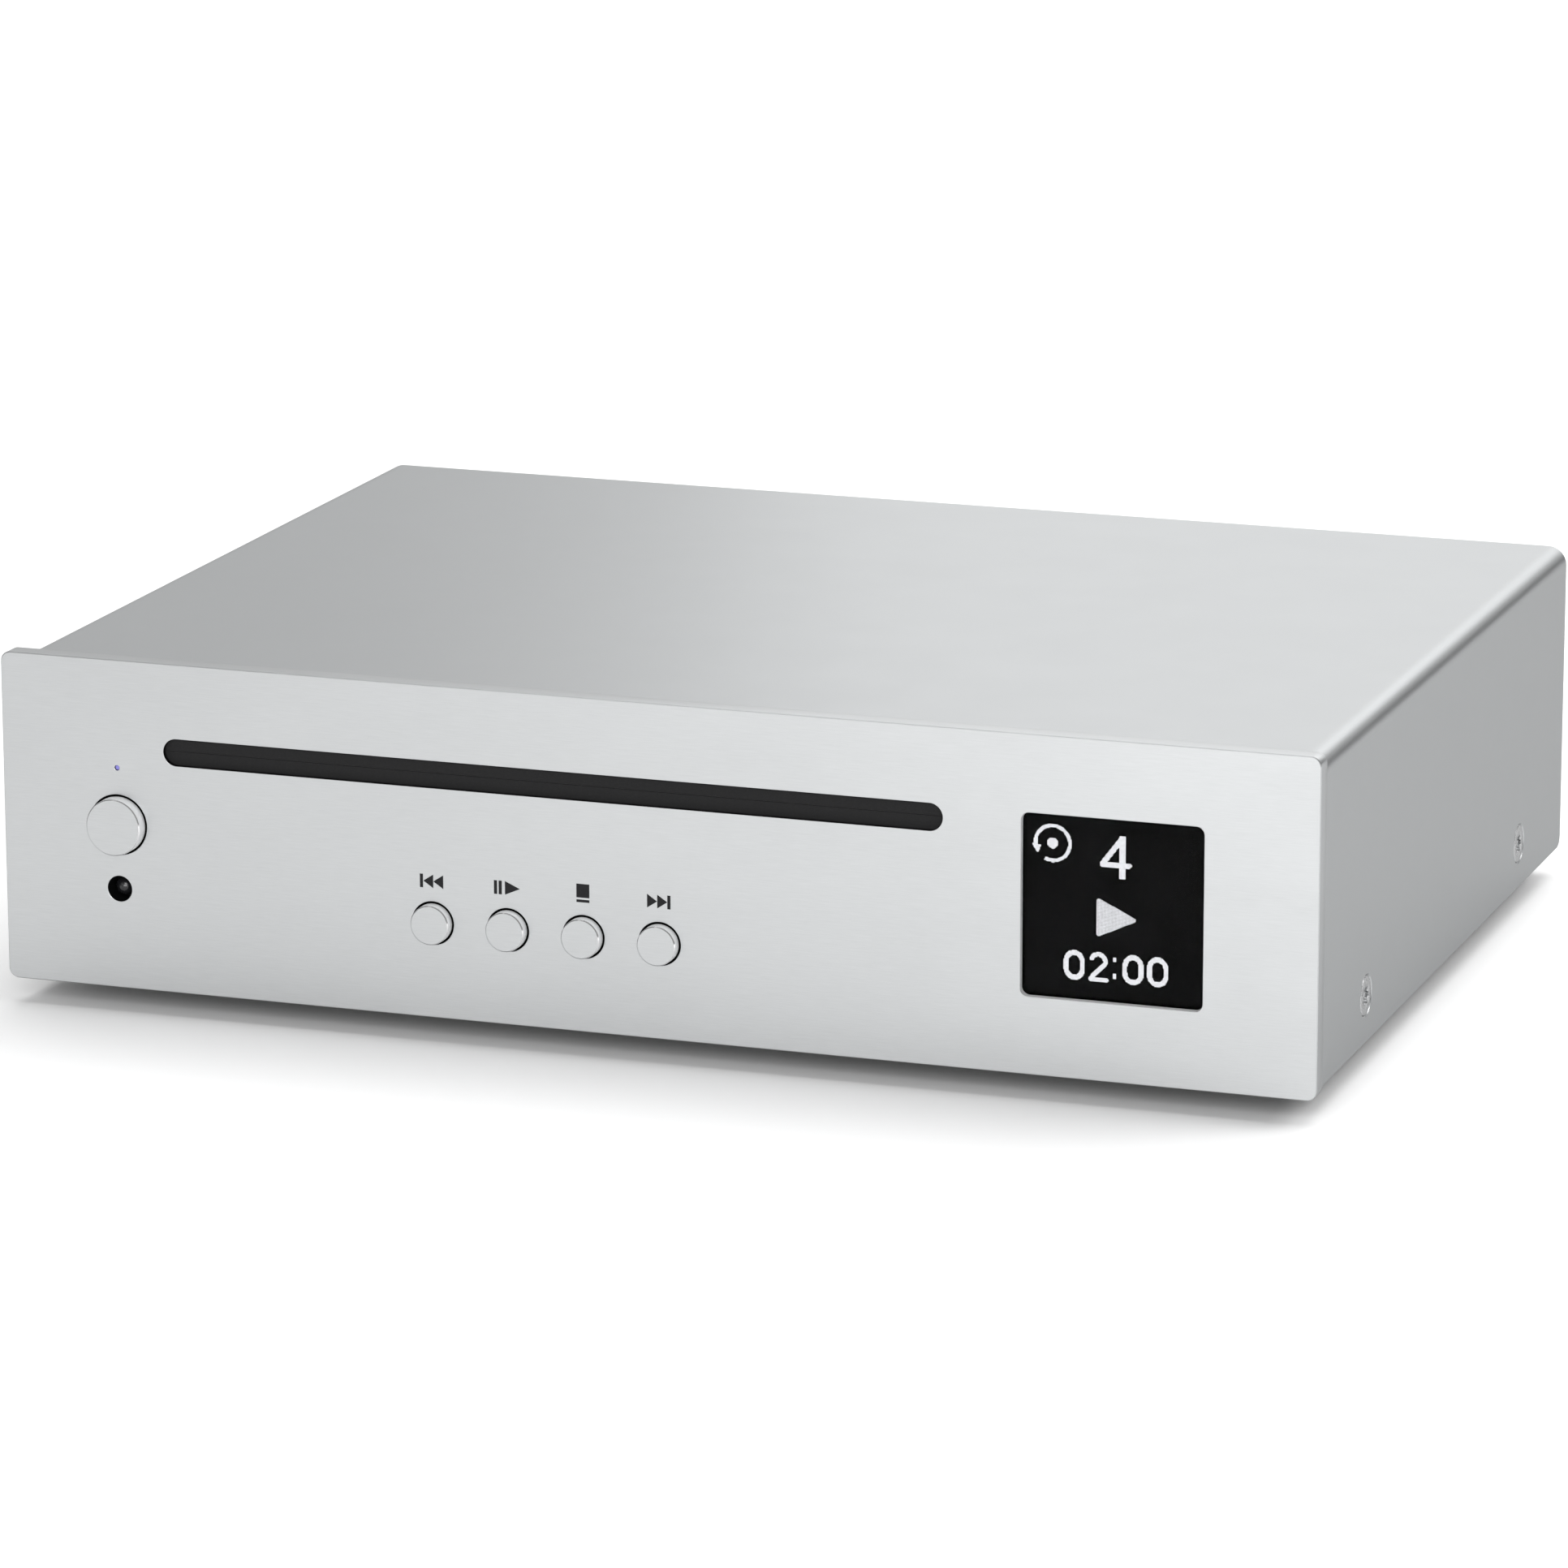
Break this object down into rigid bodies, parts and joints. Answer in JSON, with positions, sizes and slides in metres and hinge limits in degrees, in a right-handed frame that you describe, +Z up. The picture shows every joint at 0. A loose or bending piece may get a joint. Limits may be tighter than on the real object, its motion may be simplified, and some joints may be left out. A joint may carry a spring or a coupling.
{
  "type": "cd player",
  "caption": "Half-width slot-loading compact disc player with an aluminium front panel, round push buttons, a square display window and a bent metal cover.",
  "frame": {"origin": "middle of the bounding box, on the surface that the feet stand on", "axes": "+X towards the player's right as its user sees it, +Y from the front panel to the sockets, +Z up"},
  "size_m": [0.206, 0.1626, 0.055],
  "materials": {
    "brushed_aluminium": "fine horizontal brushing, clear anodised",
    "satin_aluminium": "bead-blasted satin, clear anodised",
    "plated_steel": "zinc-plated sheet",
    "powder_coat": "dark baked powder over folded steel",
    "polished_steel": "polished",
    "foot_rubber": "matt",
    "roller_rubber": "matt",
    "lip_felt": "felt",
    "black_plastic": "matt moulded",
    "gloss_black": "gloss moulded",
    "window_glass": "smoked, polished",
    "lens_glass": "coated optical",
    "indicator_lamp": "lit from behind",
    "circuit_board": "solder mask",
    "white_acetal": "natural acetal",
    "gold_contact": "gold-plated",
    "ribbon": "flat flexible cable",
    "motor_can": "nickel-plated can"
  },
  "bodies": {
    "player": {"front_panel": "brushed_aluminium", "top_cover": "satin_aluminium", "base_chassis": "powder_coat", "rear_panel": "satin_aluminium", "foot_front_left": "foot_rubber", "foot_rear_left": "foot_rubber", "foot_front_right": "foot_rubber", "foot_rear_right": "foot_rubber", "cover_screw_front_left": "polished_steel", "cover_screw_rear_left": "polished_steel", "cover_screw_front_right": "polished_steel", "cover_screw_rear_right": "polished_steel", "slot_lip_upper": "lip_felt", "slot_lip_lower": "lip_felt", "button_board": "circuit_board", "power_led": "indicator_lamp", "ir_receiver": "gloss_black", "display_glass": "window_glass", "display_module": "gloss_black", "main_board": "circuit_board", "line_out_left": "gold_contact", "line_out_right": "gold_contact", "coaxial_out": "gold_contact", "optical_out": "black_plastic", "power_inlet": "black_plastic", "drive_frame": "black_plastic", "drive_lid": "plated_steel", "upper_disc_guide": "black_plastic", "drive_damper_front_left": "foot_rubber", "drive_damper_rear_left": "foot_rubber", "drive_damper_front_right": "foot_rubber", "drive_damper_rear_right": "foot_rubber", "loading_motor": "motor_can", "servo_board": "circuit_board", "flat_cable": "ribbon"},
    "power_button": {"power_button": "brushed_aluminium"},
    "previous_button": {"previous_button": "brushed_aluminium"},
    "play_pause_button": {"play_pause_button": "brushed_aluminium"},
    "stop_button": {"stop_button": "brushed_aluminium"},
    "next_button": {"next_button": "brushed_aluminium"},
    "roller": {"loading_roller": "roller_rubber", "roller_shaft": "polished_steel", "roller_gear": "white_acetal"},
    "idler": {"idler_gear": "white_acetal"},
    "loading_pinion": {"loading_pinion": "white_acetal"},
    "lift_slider_front": {"lift_slider_front": "white_acetal"},
    "lift_slider_rear": {"lift_slider_rear": "white_acetal"},
    "traverse": {"traverse_plate": "plated_steel", "spindle_motor": "motor_can", "guide_rod_front": "polished_steel", "guide_rod_rear": "polished_steel", "sled_motor": "motor_can"},
    "turntable": {"turntable": "black_plastic"},
    "clamp_puck": {"clamp_puck": "black_plastic"},
    "sled": {"pickup_sled": "plated_steel"},
    "lens": {"objective_lens": "lens_glass"},
    "sled_gear": {"sled_gear": "white_acetal"},
    "sled_pinion": {"sled_pinion": "white_acetal"},
    "optical_shutter": {"optical_shutter": "black_plastic"}
  },
  "joints": [
    {"name": "power_press", "type": "slide", "parent": "player", "child": "power_button", "axis": [0, 1, 0], "range_m": [0, 0.0005], "stiffness_N_per_m": 800, "springref_m": -0.001},
    {"name": "previous_press", "type": "slide", "parent": "player", "child": "previous_button", "axis": [0, 1, 0], "range_m": [0, 0.0005], "stiffness_N_per_m": 800, "springref_m": -0.001},
    {"name": "play_pause_press", "type": "slide", "parent": "player", "child": "play_pause_button", "axis": [0, 1, 0], "range_m": [0, 0.0005], "stiffness_N_per_m": 800, "springref_m": -0.001},
    {"name": "stop_press", "type": "slide", "parent": "player", "child": "stop_button", "axis": [0, 1, 0], "range_m": [0, 0.0005], "stiffness_N_per_m": 800, "springref_m": -0.001},
    {"name": "next_press", "type": "slide", "parent": "player", "child": "next_button", "axis": [0, 1, 0], "range_m": [0, 0.0005], "stiffness_N_per_m": 800, "springref_m": -0.001},
    {"name": "roller_spin", "type": "hinge", "parent": "player", "child": "roller", "pos_m": [-0.0152, -0.0597, 0.037], "axis": [1, 0, 0], "continuous": true},
    {"name": "idler_spin", "type": "hinge", "parent": "player", "child": "idler", "pos_m": [-0.0862, -0.05176, 0.02646], "axis": [1, 0, 0], "continuous": true},
    {"name": "loading_pinion_spin", "type": "hinge", "parent": "player", "child": "loading_pinion", "pos_m": [-0.0862, -0.0452, 0.01864], "axis": [1, 0, 0], "continuous": true},
    {"name": "traverse_lift", "type": "slide", "parent": "player", "child": "traverse", "axis": [0, 0, 1], "range_m": [0, 0.006]},
    {"name": "lift_slide_front", "type": "slide", "parent": "player", "child": "lift_slider_front", "axis": [1, 0, 0], "range_m": [0, 0.014]},
    {"name": "lift_slide_rear", "type": "slide", "parent": "player", "child": "lift_slider_rear", "axis": [1, 0, 0], "range_m": [0, 0.014]},
    {"name": "turntable_spin", "type": "hinge", "parent": "traverse", "child": "turntable", "pos_m": [-0.0152, 0.0063, 0.0366], "axis": [0, 0, 1], "continuous": true},
    {"name": "clamp_puck_spin", "type": "hinge", "parent": "player", "child": "clamp_puck", "pos_m": [-0.0152, 0.0063, 0.05], "axis": [0, 0, 1], "continuous": true},
    {"name": "sled_travel", "type": "slide", "parent": "traverse", "child": "sled", "axis": [1, 0, 0], "range_m": [0, 0.0335]},
    {"name": "sled_gear_spin", "type": "hinge", "parent": "traverse", "child": "sled_gear", "pos_m": [0.0048, -0.0219, 0.027], "axis": [0, 0, 1], "range_deg": [-460, 0]},
    {"name": "sled_pinion_spin", "type": "hinge", "parent": "traverse", "child": "sled_pinion", "pos_m": [-0.00679, -0.01879, 0.024], "axis": [0, 0, 1], "range_deg": [0, 1380]},
    {"name": "lens_focus", "type": "slide", "parent": "sled", "child": "lens", "axis": [0, 0, 1], "range_m": [-0.0005, 0.0005], "stiffness_N_per_m": 50},
    {"name": "optical_shutter_open", "type": "hinge", "parent": "player", "child": "optical_shutter", "pos_m": [0.06, 0.07185, 0.0211], "axis": [-1, 0, 0], "range_deg": [0, 80], "stiffness_Nm_per_rad": 0.002, "springref_deg": -17.19}
  ],
  "couplings": [
    {"joint": "idler_spin", "follows": "roller_spin", "ratio": -0.83333},
    {"joint": "loading_pinion_spin", "follows": "roller_spin", "ratio": 2},
    {"joint": "lift_slide_front", "follows": "traverse_lift", "ratio": 2.3333},
    {"joint": "lift_slide_rear", "follows": "traverse_lift", "ratio": 2.3333},
    {"joint": "sled_gear_spin", "follows": "sled_travel", "rad_per_m": -238.1},
    {"joint": "sled_pinion_spin", "follows": "sled_travel", "rad_per_m": 714.29}
  ]
}
